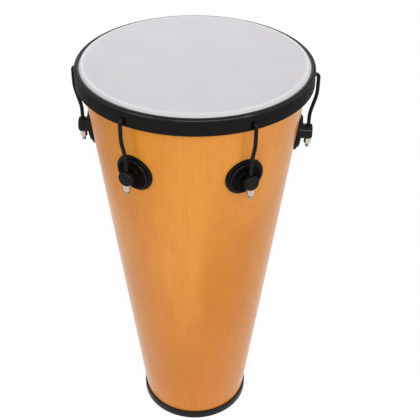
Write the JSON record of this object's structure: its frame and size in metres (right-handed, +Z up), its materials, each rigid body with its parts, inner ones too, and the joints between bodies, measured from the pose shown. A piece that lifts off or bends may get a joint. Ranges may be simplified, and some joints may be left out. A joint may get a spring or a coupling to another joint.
{
  "type": "timbal drum",
  "caption": "Tall tapered wooden hand drum with a plastic head, a counter hoop drawn down by bent hooks through round lugs, and an open foot.",
  "frame": {"origin": "centre of the underside of the foot ring, where the drum stands", "axes": "+Z up along the drum's axis, towards the head; lug_1 is on +X"},
  "size_m": [0.3908, 0.374, 0.7009],
  "materials": {
    "shell_wood": "gloss varnish",
    "ring_rubber": "satin",
    "film": "smooth matt",
    "flesh_hoop": "mill",
    "bead_resin": "cast",
    "hoop_coat": "semi-gloss powder coat",
    "hook_coat": "semi-gloss powder coat",
    "lug_coat": "semi-gloss powder coat",
    "pad_rubber": "matt",
    "nut_plate": "zinc plate",
    "zinc": "zinc plate"
  },
  "bodies": {
    "drum": {"shell": "shell_wood", "foot_ring": "ring_rubber", "lug_1": "lug_coat", "lug_2": "lug_coat", "lug_3": "lug_coat", "lug_4": "lug_coat", "lug_5": "lug_coat", "lug_6": "lug_coat", "lug_pad_1": "pad_rubber", "lug_pad_2": "pad_rubber", "lug_pad_3": "pad_rubber", "lug_pad_4": "pad_rubber", "lug_pad_5": "pad_rubber", "lug_pad_6": "pad_rubber", "tension_washers": "zinc", "lug_screws": "zinc", "lug_screw_washers": "zinc"},
    "head_assembly": {"head_film": "film", "head_hoop": "flesh_hoop", "head_bead": "bead_resin", "counter_hoop": "hoop_coat", "tension_hook_1": "hook_coat", "tension_hook_2": "hook_coat", "tension_hook_3": "hook_coat", "tension_hook_4": "hook_coat", "tension_hook_5": "hook_coat", "tension_hook_6": "hook_coat"},
    "nut_1": {"tension_nut_1": "nut_plate"},
    "nut_2": {"tension_nut_2": "nut_plate"},
    "nut_3": {"tension_nut_3": "nut_plate"},
    "nut_4": {"tension_nut_4": "nut_plate"},
    "nut_5": {"tension_nut_5": "nut_plate"},
    "nut_6": {"tension_nut_6": "nut_plate"}
  },
  "joints": [
    {"name": "head_slide", "type": "slide", "parent": "drum", "child": "head_assembly", "axis": [0, 0, 1], "range_m": [0, 0.007]},
    {"name": "nut_turn_1", "type": "hinge", "parent": "drum", "child": "nut_1", "pos_m": [0.18303, 0, 0.5689], "axis": [0, 0, 1], "range_deg": [-2520, 0]},
    {"name": "nut_turn_2", "type": "hinge", "parent": "drum", "child": "nut_2", "pos_m": [0.09152, 0.15851, 0.5689], "axis": [0, 0, 1], "range_deg": [-2520, 0]},
    {"name": "nut_turn_3", "type": "hinge", "parent": "drum", "child": "nut_3", "pos_m": [-0.09152, 0.15851, 0.5689], "axis": [0, 0, 1], "range_deg": [-2520, 0]},
    {"name": "nut_turn_4", "type": "hinge", "parent": "drum", "child": "nut_4", "pos_m": [-0.18303, 0, 0.5689], "axis": [0, 0, 1], "range_deg": [-2520, 0]},
    {"name": "nut_turn_5", "type": "hinge", "parent": "drum", "child": "nut_5", "pos_m": [-0.09152, -0.15851, 0.5689], "axis": [0, 0, 1], "range_deg": [-2520, 0]},
    {"name": "nut_turn_6", "type": "hinge", "parent": "drum", "child": "nut_6", "pos_m": [0.09152, -0.15851, 0.5689], "axis": [0, 0, 1], "range_deg": [-2520, 0]}
  ],
  "couplings": [
    {"joint": "nut_turn_1", "follows": "head_slide", "rad_per_m": -6283.2},
    {"joint": "nut_turn_2", "follows": "head_slide", "rad_per_m": -6283.2},
    {"joint": "nut_turn_3", "follows": "head_slide", "rad_per_m": -6283.2},
    {"joint": "nut_turn_4", "follows": "head_slide", "rad_per_m": -6283.2},
    {"joint": "nut_turn_5", "follows": "head_slide", "rad_per_m": -6283.2},
    {"joint": "nut_turn_6", "follows": "head_slide", "rad_per_m": -6283.2}
  ]
}
